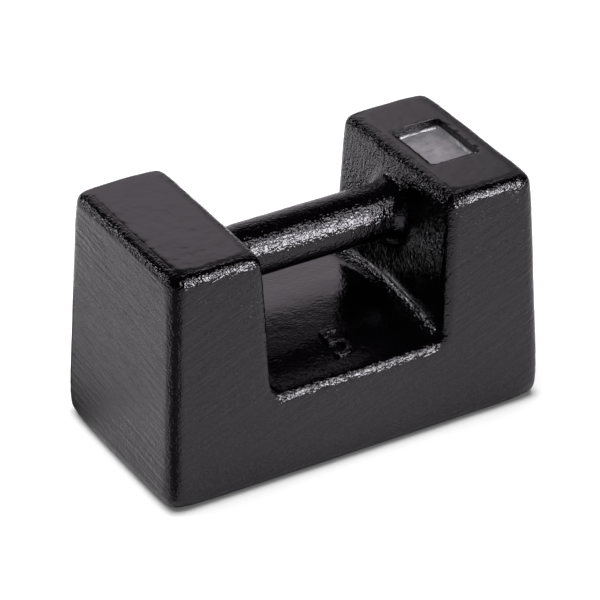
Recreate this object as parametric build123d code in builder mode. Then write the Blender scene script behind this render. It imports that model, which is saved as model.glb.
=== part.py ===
"""Block-shaped cast iron test weight of 5 kg.

One sand casting holds the block, its two uprights and the grip bar between them.
A pocket in the top of one upright leads down to the adjusting cavity. Loose lead
shot in there trims the mass, a mild steel plate covers it, and a lead seal is
hammered into the pocket over the plate.

Millimetres. The origin is the centre of the base, +X runs along the grip towards
the upright with the seal, and +Z points up.
"""

import os
from math import radians, tan

from build123d import *

# ---- the block: a bar that tapers from its base to its top ----------------------
base_length = 149.7
base_width = 77.4
height = 89.6
end_draft = 2.85                # degrees, the two end faces
side_draft = 2.0                # degrees, the two long faces

# ---- the hand gap: right through the block --------------------------------------
gap_width = 71.9                # between the uprights, at the top
gap_draft = 2.65                # degrees, each inner face
crown_height = 39.25            # where the two slopes of its floor would meet
lip_height = 34.2               # the floor where it meets the long faces
crown_round = 130.0             # the slopes run into each other over the middle

# ---- the grip bar, cast in one with the uprights --------------------------------
grip_diameter = 19.8
grip_drop = 20.2                # from the top faces down to its axis

# ---- rounding of the casting ----------------------------------------------------
corner_round = 4.4              # the block's four upright corners
mouth_round = 3.4               # the mouth of the gap on each long face
top_round = 3.9
base_round = 4.3
floor_fillet = 5.0
grip_fillet = 4.5

# ---- seal pocket and adjusting cavity -------------------------------------------
pocket_length = 27.0            # along Y
pocket_width = 19.4             # along X
pocket_corner = 1.5
pocket_shift = 1.1              # off the middle along Y, as it was cast
seal_drop = 2.5                 # top face down to the rim of the seal
groove_depth = 0.8              # undercut in the pocket wall that keys the lead
groove_height = 1.2
cavity_diameter = 15.0
cavity_depth = 30.0             # below the cover plate

# ---- lead seal and cover plate --------------------------------------------------
seal_thickness = 3.2            # at the rim
seal_rim = 1.6                  # width of the rim
seal_dish = 0.9                 # from the rim down to the face
plate_thickness = 1.5
plate_clearance = 0.2           # round the plate, in the pocket

# ---- loose adjusting shot: pellets cut from lead wire ---------------------------
pellet_diameter = 4.7
pellet_length = 10.0
pellet_clearance = 0.1          # between one pellet and the next


# ---- worked out from the sizes above --------------------------------------------
def length_at(level):
    """Length of the block at a height above the base."""
    return base_length - 2 * level * tan(radians(end_draft))


def width_at(level):
    """Width of the block at a height above the base."""
    return base_width - 2 * level * tan(radians(side_draft))


def gap_width_at(level):
    """Clear width between the uprights at a height above the base."""
    return gap_width - 2 * (height - level) * tan(radians(gap_draft))


def floor_level_at(distance):
    """Height of the gap's floor at a distance from the ridge, towards a long face."""
    fall = crown_height - lip_height
    return crown_height - fall * distance / (width_at(lip_height) / 2)


upright_centre = (length_at(height) + gap_width) / 4
grip_height = height - grip_drop
seal_top = height - seal_drop
seal_bottom = seal_top - seal_thickness
pocket_floor = seal_bottom - plate_thickness
cavity_floor = pocket_floor - cavity_depth
overrun = 20.0                  # how far a cutting shape runs past the block


def pocket_outline(margin=0.0):
    """Outline of the seal pocket, moved outwards by a margin."""
    with Locations((upright_centre, pocket_shift)):
        RectangleRounded(
            pocket_width + 2 * margin,
            pocket_length + 2 * margin,
            pocket_corner + margin,
        )


# ---- space of the hand gap: drafted sides over a floor that falls both ways -----
with BuildPart() as hand_gap:
    gap_top = height + overrun
    gap_side = base_width / 2 + overrun
    with BuildSketch(Plane.XZ):
        Trapezoid(gap_width_at(gap_top), gap_top, 90 + gap_draft, align=(Align.CENTER, Align.MIN))
    extrude(amount=gap_side, both=True)
    with BuildSketch(Plane.YZ) as floor_profile:
        with BuildLine():
            Polyline(
                (0, crown_height),
                (gap_side, floor_level_at(gap_side)),
                (gap_side, gap_top),
                (-gap_side, gap_top),
                (-gap_side, floor_level_at(gap_side)),
                close=True,
            )
        make_face()
        ridge = floor_profile.vertices().group_by(lambda corner: abs(corner.X))[0]
        fillet(ridge, radius=crown_round)
    extrude(amount=gap_width_at(gap_top), both=True, mode=Mode.INTERSECT)
    floor_sides = hand_gap.edges().filter_by(
        lambda edge: abs((edge % 0.5).Y) > 0.9 and edge.center().Z < height
    )
    fillet(floor_sides, radius=floor_fillet)


# ---- cast body: block, uprights and grip bar ------------------------------------
with BuildPart() as cast_body:
    # The block is what its front profile and its end profile have in common.
    with BuildSketch(Plane.XZ):
        Trapezoid(base_length, height, 90 - end_draft, align=(Align.CENTER, Align.MIN))
    extrude(amount=base_width / 2, both=True)
    with BuildSketch(Plane.YZ):
        Trapezoid(base_width, height, 90 - side_draft, align=(Align.CENTER, Align.MIN))
    extrude(amount=base_length / 2, both=True, mode=Mode.INTERSECT)
    add(hand_gap.part, mode=Mode.SUBTRACT)

    # Rounding: the upright corners, the mouths of the gap, the tops, then the foot.
    upright_edges = cast_body.edges().filter_by(lambda edge: abs((edge % 0.5).Z) > 0.9)
    corner_edges = upright_edges.filter_by(lambda edge: abs(edge.center().X) > upright_centre)
    fillet(corner_edges, radius=corner_round)
    upright_edges = cast_body.edges().filter_by(lambda edge: abs((edge % 0.5).Z) > 0.9)
    mouth_edges = upright_edges.filter_by(lambda edge: abs(edge.center().X) < upright_centre)
    fillet(mouth_edges, radius=mouth_round)
    for side in (0, -1):
        upright_tops = cast_body.faces().filter_by(Axis.Z).group_by(Axis.Z)[-1]
        fillet(upright_tops.sort_by(Axis.X)[side].edges(), radius=top_round)
    fillet(cast_body.faces().sort_by(Axis.Z)[0].edges(), radius=base_round)

    # The grip bar, with a fillet where it runs into each upright.
    with BuildSketch(Plane.YZ):
        with Locations((0, grip_height)):
            Circle(grip_diameter / 2)
    extrude(amount=gap_width / 2, both=True)
    fillet(cast_body.edges(Select.LAST).filter_by(GeomType.ELLIPSE), radius=grip_fillet)

    # The pocket for the seal, the groove in its wall, and the drilled cavity.
    with BuildSketch(Plane.XY.offset(pocket_floor)):
        pocket_outline()
    extrude(amount=height - pocket_floor, mode=Mode.SUBTRACT)
    with BuildSketch(Plane.XY.offset(seal_bottom)):
        pocket_outline(groove_depth)
    extrude(amount=groove_height, mode=Mode.SUBTRACT)
    with BuildSketch(Plane.XY.offset(cavity_floor)):
        with Locations((upright_centre, pocket_shift)):
            Circle(cavity_diameter / 2)
    extrude(amount=cavity_depth, mode=Mode.SUBTRACT)

cast_body.part.label = "cast_body"


# ---- cover plate: mild steel, on the shoulder round the cavity ------------------
with BuildPart() as cover_plate:
    with BuildSketch(Plane.XY.offset(pocket_floor)):
        pocket_outline(-plate_clearance)
    extrude(amount=plate_thickness)

cover_plate.part.label = "cover_plate"


# ---- lead seal: fills the pocket over the plate, and its groove -----------------
with BuildPart() as lead_seal:
    with BuildSketch(Plane.XY.offset(seal_bottom)):
        pocket_outline()
    extrude(amount=seal_thickness)
    with BuildSketch(Plane.XY.offset(seal_bottom)):
        pocket_outline(groove_depth)
    extrude(amount=groove_height)
    # The face is dished by the stamping, with sloping sides up to the rim.
    dish_slope = (seal_rim - seal_dish, seal_rim)
    for level, border in zip((seal_top, seal_top - seal_dish), dish_slope):
        with BuildSketch(Plane.XY.offset(level)):
            with Locations((upright_centre, pocket_shift)):
                Rectangle(pocket_width - 2 * border, pocket_length - 2 * border)
    loft(ruled=True, mode=Mode.SUBTRACT)

lead_seal.part.label = "lead_seal"


# ---- adjusting shot: seven pellets that stand close together on the cavity floor -
with BuildPart() as adjusting_shot:
    with BuildSketch(Plane.XY.offset(cavity_floor)):
        with Locations((upright_centre, pocket_shift)):
            Circle(pellet_diameter / 2)
            with PolarLocations(pellet_diameter + pellet_clearance, 6):
                Circle(pellet_diameter / 2)
    extrude(amount=pellet_length)

adjusting_shot.part.label = "adjusting_shot"


os.makedirs("parts", exist_ok=True)
export_step(cast_body.part, "parts/cast_body.step")
export_step(cover_plate.part, "parts/cover_plate.step")
export_step(lead_seal.part, "parts/lead_seal.step")
export_step(adjusting_shot.part, "parts/adjusting_shot.step")
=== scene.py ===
from math import cos, exp, radians, sin

import bmesh
import bpy
from mathutils import Matrix, Vector, noise


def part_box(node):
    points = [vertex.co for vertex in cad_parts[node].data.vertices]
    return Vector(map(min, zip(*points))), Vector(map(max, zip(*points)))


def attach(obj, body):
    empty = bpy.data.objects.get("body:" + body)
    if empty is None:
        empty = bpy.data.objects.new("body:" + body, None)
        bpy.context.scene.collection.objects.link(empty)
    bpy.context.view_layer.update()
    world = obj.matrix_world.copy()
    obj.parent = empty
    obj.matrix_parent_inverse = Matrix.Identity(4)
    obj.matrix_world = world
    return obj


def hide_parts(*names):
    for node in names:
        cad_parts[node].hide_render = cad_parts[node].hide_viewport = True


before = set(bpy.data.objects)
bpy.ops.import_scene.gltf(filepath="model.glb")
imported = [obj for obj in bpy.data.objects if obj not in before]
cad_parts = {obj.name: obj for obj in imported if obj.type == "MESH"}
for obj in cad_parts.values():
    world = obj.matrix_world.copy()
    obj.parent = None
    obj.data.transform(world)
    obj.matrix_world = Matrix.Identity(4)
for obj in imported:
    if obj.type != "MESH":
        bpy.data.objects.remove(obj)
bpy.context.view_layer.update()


# ---- camera: a long lens that looks down over one corner of the weight ----------
camera_place = (-0.53205, -0.89974, 0.69083)
camera_turn = (58.181, -0.060, -30.482)     # degrees
camera_lens = 213.39                        # mm, on a 36 mm sensor

camera = bpy.data.objects.new("camera", bpy.data.cameras.new("camera"))
camera.location = camera_place
camera.rotation_euler = [radians(turn) for turn in camera_turn]
camera.data.sensor_width = 36
camera.data.lens = camera_lens
camera.data.clip_start = 0.01
bpy.context.scene.collection.objects.link(camera)
bpy.context.scene.camera = camera


# ---- cast body: one grey iron sand casting under black lacquer -------------------
# The casting is the block, its two uprights and the grip. Its outer faces were
# linished before they were lacquered, and the rest keeps the grain of the sand.
# The pocket for the seal was milled afterwards, so its edges are sharp.
skin_pitch = 0.00088            # edge of one face of the mesh
grip_radius = 0.0099
grip_level = 0.0694
grip_half = 0.026               # the straight part of the grip, each way from the middle
pocket_centre = Vector((0.0532, 0.0011))
pocket_half = Vector((0.0097, 0.0135))
lump_sizes = ((0.022, 0.00010), (0.009, 0.00005), (0.004, 0.00003))   # wave length, height
foot_softening = ((0.017, 8), (0.0125, 12), (0.009, 16))              # reach, rounds
top_softening = ((0.011, 6), (0.008, 8))
gap_floor_top = 0.045           # nothing of the gap's floor lies higher
gap_floor_half = 0.036
gap_half = Vector((0.037, 0.036))
lean_height = 0.0004            # how the crown of the gap's floor leans
lean_run = 0.010
lean_fade = 0.012
nick_level = 0.0885             # the nicks lie above this
nick_reach = 0.0004
nick_length = 0.0021
nick_depth = 0.0003

casting = bmesh.new()
casting.from_mesh(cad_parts["cast_body"].data)
bmesh.ops.remove_doubles(casting, verts=casting.verts, dist=1e-6)
body_low, body_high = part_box("cast_body")


def is_milled(face):
    """Whether a face of the casting belongs to the pocket or to the cavity below it."""
    middle = face.calc_center_median()
    aside = abs(middle.x - pocket_centre.x) < pocket_half.x + 0.0012
    along = abs(middle.y - pocket_centre.y) < pocket_half.y + 0.0012
    return aside and along and 0.03 < middle.z < body_high.z - 1e-5


# The milled faces are set aside as a cutter, and the pocket is closed for now.
milling = casting.copy()
uncut = [face for face in milling.faces if not is_milled(face)]
bmesh.ops.delete(milling, geom=uncut, context="FACES")
rim = [edge for edge in milling.edges if edge.is_boundary]
raised = bmesh.ops.extrude_edge_only(milling, edges=rim)["geom"]
bmesh.ops.translate(milling, vec=(0, 0, 0.002),
                    verts=[part for part in raised if isinstance(part, bmesh.types.BMVert)])
bmesh.ops.holes_fill(milling, edges=[edge for edge in milling.edges if edge.is_boundary], sides=0)
bmesh.ops.recalc_face_normals(milling, faces=milling.faces)
cutter_mesh = bpy.data.meshes.new("milling")
milling.to_mesh(cutter_mesh)
milling.free()
milled = [face for face in casting.faces if is_milled(face)]
bmesh.ops.delete(casting, geom=milled, context="FACES")
bmesh.ops.holes_fill(casting, edges=[edge for edge in casting.edges if edge.is_boundary], sides=0)
casting_mesh = bpy.data.meshes.new("cast_iron")
casting.to_mesh(casting_mesh)
casting.free()


def apply_modifiers(piece):
    """Give a piece the mesh that its modifiers make, and take them off."""
    bpy.context.view_layer.update()
    made = bpy.data.meshes.new_from_object(
        piece.evaluated_get(bpy.context.evaluated_depsgraph_get())
    )
    piece.modifiers.clear()
    piece.data = made


body = bpy.data.objects.new("lacquered_casting", casting_mesh)
bpy.context.scene.collection.objects.link(body)
skin = body.modifiers.new("skin", "REMESH")
skin.mode = "VOXEL"
skin.voxel_size = skin_pitch
apply_modifiers(body)

casting = bmesh.new()
casting.from_mesh(body.data)


def soften(mesh, verts, rounds):
    """Even out the lie of some vertices."""
    for _ in range(rounds):
        bmesh.ops.smooth_vert(mesh, verts=verts, factor=0.5,
                              use_axis_x=True, use_axis_y=True, use_axis_z=True)


soften(casting, casting.verts, 6)

# The corners are rounder than the edges that meet there.
foot_corners = [
    Vector((end * body_high.x, side * body_high.y, 0)) for end in (-1, 1) for side in (-1, 1)
]
top_corners = [
    Vector((end * distance, side * 0.0356, body_high.z))
    for end in (-1, 1)
    for side in (-1, 1)
    for distance in (0.0704, 0.0359)
]
for corners, softening in ((foot_corners, foot_softening), (top_corners, top_softening)):
    for reach, rounds in softening:
        near = [
            vert for vert in casting.verts
            if any((vert.co - corner).length < reach for corner in corners)
        ]
        soften(casting, near, rounds)

# The grip runs out wide into the uprights, and its straight part is a true round.
grip_ends = [
    vert for vert in casting.verts
    if 0.024 < abs(vert.co.x) < 0.041
    and Vector((0, vert.co.y, vert.co.z - grip_level)).length < 0.0165
]
soften(casting, grip_ends, 22)
for vert in casting.verts:
    from_axis = Vector((0, vert.co.y, vert.co.z - grip_level))
    if abs(vert.co.x) < grip_half and from_axis.length < grip_radius * 1.2:
        from_axis.length = grip_radius
        vert.co = Vector((vert.co.x, from_axis.y, grip_level + from_axis.z))

# The crown of the gap's floor came out a little higher behind the grip than before it.
casting.normal_update()
for vert in casting.verts:
    on_floor = max(abs(vert.co.x), abs(vert.co.y)) < gap_floor_half and vert.co.z < gap_floor_top
    if on_floor and vert.normal.z > 0.5:
        vert.co.z += lean_height * (vert.co.y / lean_run) * exp(-(vert.co.y / lean_fade) ** 2)


def share(value, start, span):
    """How far a value has come over a span from its start, between 0 and 1."""
    return min(1, max(0, (value - start) / span))


# The lumps of the sand mould are stronger round the tops. The tops themselves and
# the foot stay flat.
lumps = []
for vert in casting.verts:
    above_foot = share(vert.co.z, 0, 0.003)
    near_top = share(vert.co.z, 0.080, 0.006)
    flat_top = share(vert.normal.z, 0.9, 0.08)
    height = sum(
        high * noise.noise(vert.co / long, noise_basis="PERLIN_ORIGINAL")
        for long, high in lump_sizes
    )
    lumps.append(above_foot * (1 + near_top * (1 - 1.6 * flat_top)) * height)
for vert, height in zip(casting.verts, lumps):
    vert.co += vert.normal * height
casting.to_mesh(body.data)
casting.free()

# The pocket is milled, and its top edge is nicked where the lacquer has run or chipped.
cutter = bpy.data.objects.new("milling", cutter_mesh)
bpy.context.scene.collection.objects.link(cutter)
cut = body.modifiers.new("cut", "BOOLEAN")
cut.object = cutter
cut.operation = "DIFFERENCE"
cut.solver = "EXACT"
apply_modifiers(body)
bpy.data.objects.remove(cutter)

casting = bmesh.new()
casting.from_mesh(body.data)
for vert in casting.verts:
    aside = abs(abs(vert.co.x - pocket_centre.x) - pocket_half.x)
    along = abs(abs(vert.co.y - pocket_centre.y) - pocket_half.y)
    within = (abs(vert.co.x - pocket_centre.x) < pocket_half.x + nick_reach
              and abs(vert.co.y - pocket_centre.y) < pocket_half.y + nick_reach)
    if vert.co.z > nick_level and within and min(aside, along) < nick_reach:
        nick = noise.noise_vector(vert.co / nick_length)
        vert.co += Vector((nick.x * nick_depth, nick.y * nick_depth, -abs(nick.z) * nick_depth))

# Where a face is linished, the grain of the sand is gone. It is finer on the floor
# and low down in the gap, and coarse along one top edge.
casting.normal_update()
grain = casting.verts.layers.float.new("grain")
linished = casting.verts.layers.float_color.new("linished")
for vert in casting.verts:
    end_face = abs(vert.normal.x) if abs(vert.co.x) > 0.066 else 0
    side_face = abs(vert.normal.y) if abs(vert.co.y) > 0.033 else 0
    top_face = vert.normal.z if vert.co.z > 0.085 else 0
    faced = [share(part, 0.955, 0.04) for part in (end_face, side_face, top_face)]
    rest = 1.0
    wall = 0.0
    in_gap = abs(vert.co.x) < gap_half.x and abs(vert.co.y) < gap_half.y
    on_wall = share(abs(vert.normal.x), 0.80, 0.15) if in_gap else 0
    if on_wall > 0:
        wall = on_wall * share(vert.co.z, 0.062, 0.010) * share(vert.co.y, 0, 0.008)
        high_up = share(vert.co.z, 0.056, 0.010)
        rest = 1 - on_wall * (0.80 - 0.45 * high_up) + 0.1 * wall
    elif in_gap and vert.co.z < gap_floor_top:
        rest = 1 - 0.75 * share(vert.normal.z, 0.90, 0.08)
    elif in_gap and Vector((0, vert.co.y, vert.co.z - grip_level)).length < 0.012:
        rest = 0.75
    if 0.032 < vert.co.x < 0.043 and vert.co.z > 0.083:
        rest = 1.5
    if vert.co.z < 0.0892 and (abs(vert.co.x - pocket_centre.x) < pocket_half.x + 0.001
                               and abs(vert.co.y - pocket_centre.y) < pocket_half.y + 0.001):
        rest = 1.0
    vert[grain] = rest * (1 - max(faced))
    vert[linished] = (*faced, wall)
for edge in casting.edges:
    edge.smooth = edge.calc_face_angle(0) < 0.8
for face in casting.faces:
    face.smooth = True
casting.to_mesh(body.data)
casting.free()


def wire(tree, *joins):
    """Join sockets: each join is (from node, its socket, to node, its socket)."""
    for source, output, target, socket in joins:
        tree.links.new(source.outputs[output], target.inputs[socket])


def new_material(name):
    """A material with nodes, and its tree, its shader and its Object coordinates."""
    made = bpy.data.materials.new(name)
    made.use_nodes = True
    tree = made.node_tree
    return made, tree, tree.nodes["Principled BSDF"], tree.nodes.new("ShaderNodeTexCoord")


def grain_noise(tree, place, scale, detail=2.0, roughness=0.5):
    """A noise texture of so many waves to the metre."""
    made = tree.nodes.new("ShaderNodeTexNoise")
    made.inputs["Scale"].default_value = scale
    made.inputs["Detail"].default_value = detail
    made.inputs["Roughness"].default_value = roughness
    tree.links.new(place, made.inputs["Vector"])
    return made


def strokes(tree, place, turn, stretch, scale):
    """Noise drawn out into strokes: turned by three angles, then stretched."""
    mapping = tree.nodes.new("ShaderNodeMapping")
    mapping.vector_type = "TEXTURE"
    mapping.inputs["Rotation"].default_value = [radians(angle) for angle in turn]
    mapping.inputs["Scale"].default_value = stretch
    tree.links.new(place, mapping.inputs["Vector"])
    return grain_noise(tree, mapping.outputs["Vector"], scale, 2.0)


def scaled(tree, value, factor, operation="MULTIPLY"):
    """A value times a number or another value."""
    made = tree.nodes.new("ShaderNodeMath")
    made.operation = operation
    tree.links.new(value, made.inputs[0])
    if isinstance(factor, (int, float)):
        made.inputs[1].default_value = factor
    else:
        tree.links.new(factor, made.inputs[1])
    return made.outputs[0]


lacquer, tree, shader, coordinates = new_material("black_lacquer")
shader.inputs["Roughness"].default_value = 0.11
shader.inputs["IOR"].default_value = 1.5
shader.inputs["Specular Tint"].default_value = (0.97, 0.90, 1.0, 1)
place = coordinates.outputs["Object"]
sand = tree.nodes.new("ShaderNodeAttribute")
sand.attribute_name = "grain"
faced = tree.nodes.new("ShaderNodeAttribute")
faced.attribute_name = "linished"
by_face = tree.nodes.new("ShaderNodeSeparateXYZ")
tree.links.new(faced.outputs["Vector"], by_face.inputs[0])
fine = grain_noise(tree, place, 1500, 0.0)
coarse = grain_noise(tree, place, 650, 0.0)
waves = grain_noise(tree, place, 230, 1.0)
end_strokes = strokes(tree, place, (4, 0, 0), (1, 12, 1), 700)
side_strokes = strokes(tree, place, (0, -20, 0), (9, 1, 1), 620)
top_strokes = strokes(tree, place, (0, 0, -30), (7, 1, 1), 700)
wall_strokes = strokes(tree, place, (8, 0, 0), (1, 1, 6), 900)
side_grain = grain_noise(tree, place, 2100, 1.0)


def total(tree, *values):
    """The sum of some values."""
    result = values[0]
    for value in values[1:]:
        result = scaled(tree, result, value, "ADD")
    return result


sand_height = scaled(
    tree,
    total(tree, scaled(tree, fine.outputs["Fac"], 0.00023),
          scaled(tree, coarse.outputs["Fac"], 0.00020)),
    sand.outputs["Fac"],
)
end_height = scaled(
    tree,
    total(tree, scaled(tree, end_strokes.outputs["Fac"], 0.00052),
          scaled(tree, side_grain.outputs["Fac"], 0.00013),
          scaled(tree, coarse.outputs["Fac"], 0.00013)),
    by_face.outputs["X"],
)
side_height = scaled(
    tree,
    total(tree, scaled(tree, side_strokes.outputs["Fac"], 0.00038),
          scaled(tree, side_grain.outputs["Fac"], 0.00011),
          scaled(tree, coarse.outputs["Fac"], 0.00008)),
    by_face.outputs["Y"],
)
top_height = scaled(tree, scaled(tree, top_strokes.outputs["Fac"], 0.000012), by_face.outputs["Z"])
wall_height = scaled(tree, scaled(tree, wall_strokes.outputs["Fac"], 0.00032),
                     faced.outputs["Alpha"])
lacquer_waves = scaled(tree, waves.outputs["Fac"], 0.00007)
relief = tree.nodes.new("ShaderNodeBump")
relief.inputs["Distance"].default_value = 1.0
relief.inputs["Strength"].default_value = 1.0
wire(tree, (relief, "Normal", shader, "Normal"))
height = total(tree, sand_height, end_height, side_height, top_height, wall_height, lacquer_waves)
tree.links.new(height, relief.inputs["Height"])

# Fine rubbing scatters a little light on the linished sides.
rubbed = scaled(tree, side_grain.outputs["Fac"], by_face.outputs["Y"])
tone = tree.nodes.new("ShaderNodeValToRGB")
tone.color_ramp.elements[0].position = 0.38
tone.color_ramp.elements[0].color = (0.0012, 0.0009, 0.0013, 1)
tone.color_ramp.elements[1].position = 0.64
tone.color_ramp.elements[1].color = (0.022, 0.020, 0.022, 1)
tree.links.new(rubbed, tone.inputs[0])
wire(tree, (tone, "Color", shader, "Base Color"))

body.data.materials.clear()
body.data.materials.append(lacquer)
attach(body, "root")
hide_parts("cast_body")


# ---- raised figure: the nominal value, cast on the front slope of the gap's floor
# It is part of the same casting: a plain figure that the pattern carried, blunt at
# its edges from the sand and from the lacquer.
figure_height = 0.0150
figure_rise = 0.0013            # how far it stands above the slope
slope_angle = -7.67             # degrees, the front slope of the floor
figure_place = (0.0, -0.0225, 0.03622)

lettering = bpy.data.curves.new("figure", "FONT")
lettering.body = "5"
lettering.size = figure_height * 1.4
lettering.align_x = "CENTER"
lettering.align_y = "CENTER"
lettering.extrude = figure_rise
figure = bpy.data.objects.new("raised_figure", lettering)
bpy.context.scene.collection.objects.link(figure)
bpy.context.view_layer.update()
figure_mesh = bpy.data.meshes.new_from_object(
    figure.evaluated_get(bpy.context.evaluated_depsgraph_get())
)
bpy.data.objects.remove(figure)
cast_figure = bpy.data.objects.new("raised_figure", figure_mesh)
bpy.context.scene.collection.objects.link(cast_figure)
thicken = cast_figure.modifiers.new("skin", "REMESH")
thicken.mode = "VOXEL"
thicken.voxel_size = 0.00022
apply_modifiers(cast_figure)
marks = bmesh.new()
marks.from_mesh(cast_figure.data)
soften(marks, marks.verts, 5)
bmesh.ops.rotate(marks, verts=marks.verts, cent=(0, 0, 0),
                 matrix=Matrix.Rotation(radians(-slope_angle), 3, "X"))
bmesh.ops.translate(marks, verts=marks.verts, vec=figure_place)
for face in marks.faces:
    face.smooth = True
ground = marks.verts.layers.float.new("grain")
for vert in marks.verts:
    vert[ground] = 1.1
marks.to_mesh(cast_figure.data)
marks.free()
cast_figure.data.materials.clear()
cast_figure.data.materials.append(lacquer)
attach(cast_figure, "root")


# ---- lead seal: soft lead hammered into the pocket over the cover plate ----------
# The lead is beaten until it fills the pocket and its groove, then its face is
# stamped down, so a thin uneven rim stands up along the pocket's walls.
seal_level = 0.0871             # the top of the rim
seal_drop = 0.0009              # from the rim down to the stamped face
seal_bed = 0.0850               # the vertices above this are the beaten face
dent_place = Vector((-0.0012, -0.0005))     # from the pocket's centre
lacquer_black = (0.0012, 0.0009, 0.0013, 1)

beaten = bmesh.new()
beaten.from_mesh(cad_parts["lead_seal"].data)
bmesh.ops.remove_doubles(beaten, verts=beaten.verts, dist=1e-6)
seal_mesh = bpy.data.meshes.new("beaten_lead")
beaten.to_mesh(seal_mesh)
beaten.free()
seal = bpy.data.objects.new("beaten_seal", seal_mesh)
bpy.context.scene.collection.objects.link(seal)
skin = seal.modifiers.new("skin", "REMESH")
skin.mode = "VOXEL"
skin.voxel_size = 0.00024
apply_modifiers(seal)

beaten = bmesh.new()
beaten.from_mesh(seal.data)
beaten.normal_update()
face_verts = [vert for vert in beaten.verts if vert.co.z > seal_bed and vert.normal.z > 0.25]
for vert in face_verts:
    to_wall = min(
        pocket_half.x - abs(vert.co.x - pocket_centre.x),
        pocket_half.y - abs(vert.co.y - pocket_centre.y),
    )
    ragged = noise.noise(vert.co / 0.0031) * 0.0005 + noise.noise(vert.co / 0.0011) * 0.00018
    down = share(to_wall - 0.00055 + ragged, 0, 0.0007)
    down = down * down * (3 - 2 * down)
    wave = noise.noise(vert.co / 0.0065) * 0.00012 + noise.noise(vert.co / 0.0026) * 0.00004
    from_dent = (vert.co.xy - pocket_centre - dent_place).length
    dent = 0.00016 * max(0, 1 - from_dent / 0.0022)
    rim_wear = 0.00022 * (1 + noise.noise(vert.co / 0.0045)) * (1 - down)
    vert.co.z = seal_level - rim_wear - down * seal_drop + (wave - dent) * down
soften(beaten, face_verts, 1)
for face in beaten.faces:
    face.smooth = True
beaten.to_mesh(seal.data)
beaten.free()


def ramp(tree, value, start, end, low, high, smooth=True):
    """A value that goes from low to high while another goes from start to end."""
    made = tree.nodes.new("ShaderNodeMapRange")
    made.interpolation_type = "SMOOTHSTEP" if smooth else "LINEAR"
    limits = {"From Min": start, "From Max": end, "To Min": low, "To Max": high}
    for name, number in limits.items():
        made.inputs[name].default_value = number
    tree.links.new(value, made.inputs["Value"])
    return made.outputs["Result"]


lead, tree, shader, coordinates = new_material("lead")
place = coordinates.outputs["Object"]
cloud = grain_noise(tree, place, 260, 3.0, 0.6)
speck = grain_noise(tree, place, 1900, 2.0)
scores = strokes(tree, place, (0, 0, 24), (16, 1, 1), 1500)
blend = total(tree, scaled(tree, cloud.outputs["Fac"], 0.55),
              scaled(tree, speck.outputs["Fac"], 0.20), scaled(tree, scores.outputs["Fac"], 0.25))
tone = tree.nodes.new("ShaderNodeValToRGB")
tone.color_ramp.elements[0].position = 0.38
tone.color_ramp.elements[0].color = (0.37, 0.355, 0.385, 1)
tone.color_ramp.elements[1].position = 0.62
tone.color_ramp.elements[1].color = (0.58, 0.565, 0.595, 1)
tree.links.new(blend, tone.inputs[0])
# The lacquer was brushed on after the seal, and runs over two of its borders.
across = tree.nodes.new("ShaderNodeSeparateXYZ")
tree.links.new(place, across.inputs[0])
runs = grain_noise(tree, place, 420, 3.0, 0.6)
drift = scaled(tree, scaled(tree, runs.outputs["Fac"], 0.5, "SUBTRACT"), 0.0030)
on_left = ramp(tree, total(tree, across.outputs["X"], drift), 0.04640, 0.04665, 1.0, 0.0)
on_front = ramp(tree, total(tree, across.outputs["Y"], drift), -0.00810, -0.00785, 1.0, 0.0)
covered = scaled(tree, on_left, on_front, "MAXIMUM")
painted = tree.nodes.new("ShaderNodeMix")
painted.data_type = "RGBA"
painted.inputs["B"].default_value = lacquer_black
tree.links.new(covered, painted.inputs["Factor"])
tree.links.new(tone.outputs["Color"], painted.inputs[6])
tree.links.new(painted.outputs[2], shader.inputs["Base Color"])
tree.links.new(ramp(tree, covered, 0.0, 1.0, 0.75, 0.0, smooth=False), shader.inputs["Metallic"])
dullness = total(tree, scaled(tree, speck.outputs["Fac"], 0.20),
                 scaled(tree, cloud.outputs["Fac"], 0.25))
bare = ramp(tree, covered, 0.0, 1.0, 1.0, 0.0, smooth=False)
dullness = scaled(tree, scaled(tree, dullness, 0.07, "ADD"), bare)
tree.links.new(total(tree, dullness, 0.13), shader.inputs["Roughness"])
relief = tree.nodes.new("ShaderNodeBump")
relief.inputs["Distance"].default_value = 1.0
relief.inputs["Strength"].default_value = 1.0
tree.links.new(
    scaled(tree, total(tree, scaled(tree, cloud.outputs["Fac"], 0.00008),
                       scaled(tree, speck.outputs["Fac"], 0.00002),
                       scaled(tree, scores.outputs["Fac"], 0.00003)), bare),
    relief.inputs["Height"],
)
wire(tree, (relief, "Normal", shader, "Normal"))
seal.data.materials.clear()
seal.data.materials.append(lead)
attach(seal, "root")
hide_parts("lead_seal")


# ---- cover plate: bare sheet steel under the seal --------------------------------
# The plate is cut from sheet and lies loose on the shoulder of the pocket. It keeps
# the shot in its cavity, and the seal is beaten down onto it.
steel, tree, shader, coordinates = new_material("sheet_steel")
shader.inputs["Base Color"].default_value = (0.45, 0.45, 0.46, 1)
shader.inputs["Metallic"].default_value = 1.0
shader.inputs["Roughness"].default_value = 0.35
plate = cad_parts["cover_plate"]
plate.data.materials.clear()
plate.data.materials.append(steel)


# ---- adjusting shot: dull lead pellets, loose in the cavity ----------------------
# They are cut from lead wire, and trim the weight to its nominal mass.
shot_lead, tree, shader, coordinates = new_material("shot_lead")
shader.inputs["Base Color"].default_value = (0.12, 0.125, 0.135, 1)
shader.inputs["Metallic"].default_value = 0.5
shader.inputs["Roughness"].default_value = 0.6
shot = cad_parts["adjusting_shot"]
shot.data.materials.clear()
shot.data.materials.append(shot_lead)


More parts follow.
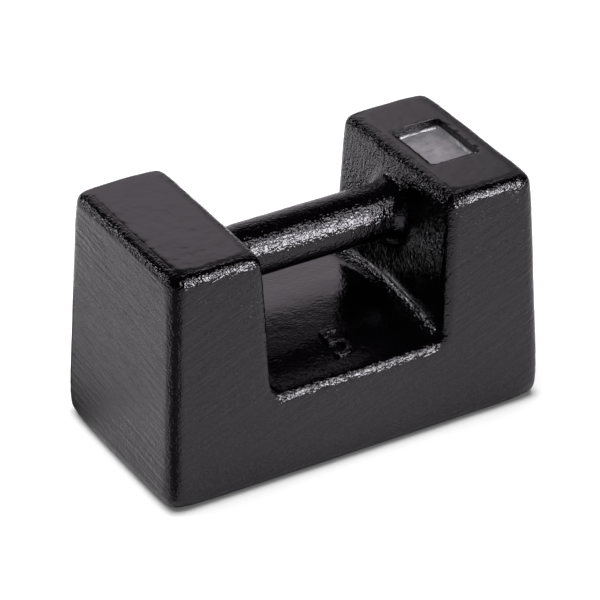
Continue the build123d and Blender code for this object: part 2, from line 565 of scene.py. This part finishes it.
# ---- studio floor: a white table --------------------------------------------------
# It is large, pale and matt. Seen by the camera it glows white from a few millimetres
# out from the weight, and less close in, which paints a tight shadow round the foot.
floor_half = 3.0
foot_half = Vector((0.0715, 0.0355))
shadow_reach = 0.0060
table = bmesh.new()
bmesh.ops.create_grid(table, x_segments=1, y_segments=1, size=floor_half)
table_mesh = bpy.data.meshes.new("table")
table.to_mesh(table_mesh)
table.free()
floor = bpy.data.objects.new("floor", table_mesh)
bpy.context.scene.collection.objects.link(floor)
white, tree, shader, coordinates = new_material("white_table")
shader.inputs["Base Color"].default_value = (0.85, 0.85, 0.85, 1)
shader.inputs["Roughness"].default_value = 0.9
shader.inputs["Specular IOR Level"].default_value = 0.0
shader.inputs["Emission Color"].default_value = (1, 1, 1, 1)


def vector_step(tree, operation, first, second=None):
    """One step of vector arithmetic on the floor."""
    made = tree.nodes.new("ShaderNodeVectorMath")
    made.operation = operation
    tree.links.new(first, made.inputs[0])
    if second is not None:
        made.inputs[1].default_value = second
    return made


rays = tree.nodes.new("ShaderNodeLightPath")
aside = vector_step(tree, "ABSOLUTE", coordinates.outputs["Object"])
aside = vector_step(tree, "SUBTRACT", aside.outputs["Vector"], (foot_half.x, foot_half.y, 0))
aside = vector_step(tree, "MAXIMUM", aside.outputs["Vector"], (0, 0, 0))
aside = vector_step(tree, "LENGTH", aside.outputs["Vector"])
# The camera-only glow is weaker within a few millimetres of the foot: painted shadow there, over
# the real shadow.
glow = ramp(tree, aside.outputs["Value"], 0.0002, shadow_reach, 0.11, 0.45)
tree.links.new(scaled(tree, glow, rays.outputs["Is Camera Ray"]),
               shader.inputs["Emission Strength"])
floor.data.materials.append(white)


# ---- painted shade on the table, out of the picture, before the left front corner - ---
# Only the lacquer mirrors this painted shade, which draws a dark line down the rounded upright
# edges.
shade_apex = (-0.0725, -0.0405, 0.0)
shade_heading = -140.0           # degrees, along the table
shade_depth = 0.85
shade_sheet_mesh = bpy.data.meshes.new("painted_shade_sheet")
sheet = bmesh.new()
bmesh.ops.create_grid(sheet, x_segments=1, y_segments=1, size=0.45)
bmesh.ops.translate(sheet, verts=sheet.verts, vec=(-0.3, -0.2, 0.0004))
sheet.to_mesh(shade_sheet_mesh)
sheet.free()
painted_shade_sheet = bpy.data.objects.new("painted_shade_front", shade_sheet_mesh)
bpy.context.scene.collection.objects.link(painted_shade_sheet)
black, tree, shader, coordinates = new_material("painted_shade_front")
shader.inputs["Base Color"].default_value = (0, 0, 0, 1)
shader.inputs["Specular IOR Level"].default_value = 0.0
turned = tree.nodes.new("ShaderNodeMapping")
turned.vector_type = "TEXTURE"
turned.inputs["Location"].default_value = shade_apex
turned.inputs["Rotation"].default_value = (0, 0, radians(shade_heading))
tree.links.new(coordinates.outputs["Object"], turned.inputs["Vector"])
parts = tree.nodes.new("ShaderNodeSeparateXYZ")
tree.links.new(turned.outputs["Vector"], parts.inputs[0])
spread = tree.nodes.new("ShaderNodeMath")
spread.operation = "ARCTAN2"
tree.links.new(scaled(tree, parts.outputs["Y"], 0, "ABSOLUTE"), spread.inputs[0])
tree.links.new(parts.outputs["X"], spread.inputs[1])
tree.links.new(ramp(tree, spread.outputs[0], radians(25), radians(68), shade_depth, 0.0),
               shader.inputs["Alpha"])
painted_shade_sheet.data.materials.append(black)
# The sheet is seen only in reflections and casts no shadow: it is painted shade, not a real
# object.
painted_shade_sheet.visible_camera = False
painted_shade_sheet.visible_diffuse = False
painted_shade_sheet.visible_shadow = False


# ---- painted shadow: the weight's shadow on the table just behind it, soft-edged ---
# The lacquered inner faces of the gap mirror this painted shadow, and stay black low down.
shadow_centre = (0.0, 0.0740, 0.0)
shadow_half = Vector((0.0700, 0.0330))
shadow_fade = 0.0300             # how far its edge fades out
shadow_patch_mesh = bpy.data.meshes.new("painted_shadow_patch")
sheet = bmesh.new()
bmesh.ops.create_grid(sheet, x_segments=1, y_segments=1, size=0.11)
bmesh.ops.translate(sheet, verts=sheet.verts, vec=(0, shadow_centre[1], 0.0005))
sheet.to_mesh(shadow_patch_mesh)
sheet.free()
painted_shadow_patch = bpy.data.objects.new("painted_shadow_behind", shadow_patch_mesh)
bpy.context.scene.collection.objects.link(painted_shadow_patch)
black, tree, shader, coordinates = new_material("painted_shadow_behind")
shader.inputs["Base Color"].default_value = (0, 0, 0, 1)
shader.inputs["Specular IOR Level"].default_value = 0.0
aside = vector_step(tree, "SUBTRACT", coordinates.outputs["Object"], shadow_centre)
aside = vector_step(tree, "ABSOLUTE", aside.outputs["Vector"])
aside = vector_step(tree, "SUBTRACT", aside.outputs["Vector"], (shadow_half.x, shadow_half.y, 1))
aside = vector_step(tree, "MAXIMUM", aside.outputs["Vector"], (0, 0, 0))
aside = vector_step(tree, "LENGTH", aside.outputs["Vector"])
tree.links.new(ramp(tree, aside.outputs["Value"], 0.0, shadow_fade, 0.97, 0.0),
               shader.inputs["Alpha"])
painted_shadow_patch.data.materials.append(black)
# Seen only in reflections and casting no shadow itself: it is painted shadow.
painted_shadow_patch.visible_camera = False
painted_shadow_patch.visible_diffuse = False
painted_shadow_patch.visible_shadow = False


# ---- studio walls: dark all round, with a white backdrop behind the weight -------
world = bpy.data.worlds.new("studio")
world.use_nodes = True
bpy.context.scene.world = world
tree = world.node_tree
room = tree.nodes["Background"]
direction = tree.nodes.new("ShaderNodeTexCoord")
split = tree.nodes.new("ShaderNodeSeparateXYZ")
tree.links.new(direction.outputs["Generated"], split.inputs[0])
# Brightness by the height above the table: white, then a dim band, then the dark room.
rise = tree.nodes.new("ShaderNodeValToRGB")
stops = ((0.0, 0.80), (26.0, 0.82), (29.0, 1.0), (33.0, 1.0), (33.8, 0.0), (90.0, 0.0))
while len(rise.color_ramp.elements) < len(stops):
    rise.color_ramp.elements.new(1.0)
for stop, (angle, bright) in zip(rise.color_ramp.elements, stops):
    stop.position = sin(radians(angle))
    stop.color = (bright, bright, bright, 1)
tree.links.new(split.outputs["Z"], rise.inputs[0])
# Brightness by the heading: the backdrop fades towards both of its ends.
heading = tree.nodes.new("ShaderNodeMath")
heading.operation = "ARCTAN2"
tree.links.new(split.outputs["Y"], heading.inputs[0])
tree.links.new(split.outputs["X"], heading.inputs[1])
from_right = ramp(tree, heading.outputs[0], radians(50), radians(62), 0.35, 1.0)
to_left = ramp(tree, heading.outputs[0], radians(88), radians(98), 1.0, 0.0)
past_right = ramp(tree, heading.outputs[0], radians(15), radians(30), 0.0, 1.0)
lit = scaled(tree, scaled(tree, rise.outputs["Color"], from_right), to_left)
lit = scaled(tree, lit, past_right)
# Over the backdrop's right half the wall stays dim for a little higher up.
dim = scaled(
    tree,
    ramp(tree, split.outputs["Z"], sin(radians(36)), sin(radians(47)), 0.27, 0.0),
    ramp(tree, heading.outputs[0], radians(58), radians(66), 1.0, 0.0),
)
lit = scaled(tree, lit, scaled(tree, dim, past_right), "MAXIMUM")
rays = tree.nodes.new("ShaderNodeLightPath")
shown = scaled(tree, scaled(tree, lit, 0.006, "MAXIMUM"), rays.outputs["Is Camera Ray"], "MAXIMUM")
tree.links.new(shown, room.inputs["Strength"])
tint = tree.nodes.new("ShaderNodeMix")
tint.data_type = "RGBA"
tint.inputs[6].default_value = (1.0, 0.93, 1.0, 1)
tint.inputs[7].default_value = (1.0, 1.0, 1.0, 1)
tree.links.new(rays.outputs["Is Camera Ray"], tint.inputs["Factor"])
tree.links.new(tint.outputs[2], room.inputs["Color"])


# ---- lamps: softboxes that the lacquer mirrors, and a broad one overhead ---------
def softbox(name, heading, rise, distance, width, height, brightness, mirrored=True):
    """A rectangular lamp that faces the weight from a heading and a rise in degrees."""
    data = bpy.data.lights.new(name, "AREA")
    data.shape = "RECTANGLE"
    data.size = width
    data.size_y = height
    data.energy = brightness * 3.14159 * width * height
    data.color = (0.97, 1.0, 0.98) if mirrored else (1.0, 0.985, 1.0)
    lamp = bpy.data.objects.new(name, data)
    aim = Vector((0, 0, 0.05))
    away = Vector((
        cos(radians(heading)) * cos(radians(rise)),
        sin(radians(heading)) * cos(radians(rise)),
        sin(radians(rise)),
    ))
    lamp.location = aim + away * distance
    lamp.rotation_euler = away.to_track_quat("Z", "Y").to_euler()
    lamp.visible_glossy = mirrored
    lamp.visible_diffuse = not mirrored
    lamp.visible_camera = False
    bpy.context.scene.collection.objects.link(lamp)
    return lamp


softbox("front_softbox", -63, 15.5, 1.1, 0.45, 0.42, 21)
softbox("front_softbox_top", -58, 42, 1.1, 0.36, 0.56, 5.5)
softbox("back_softbox", 131, 15, 1.1, 0.15, 0.22, 13)
softbox("overhead", 150, 83, 1.6, 1.7, 1.7, 4.3, mirrored=False)

bpy.context.scene.view_settings.view_transform = "Standard"
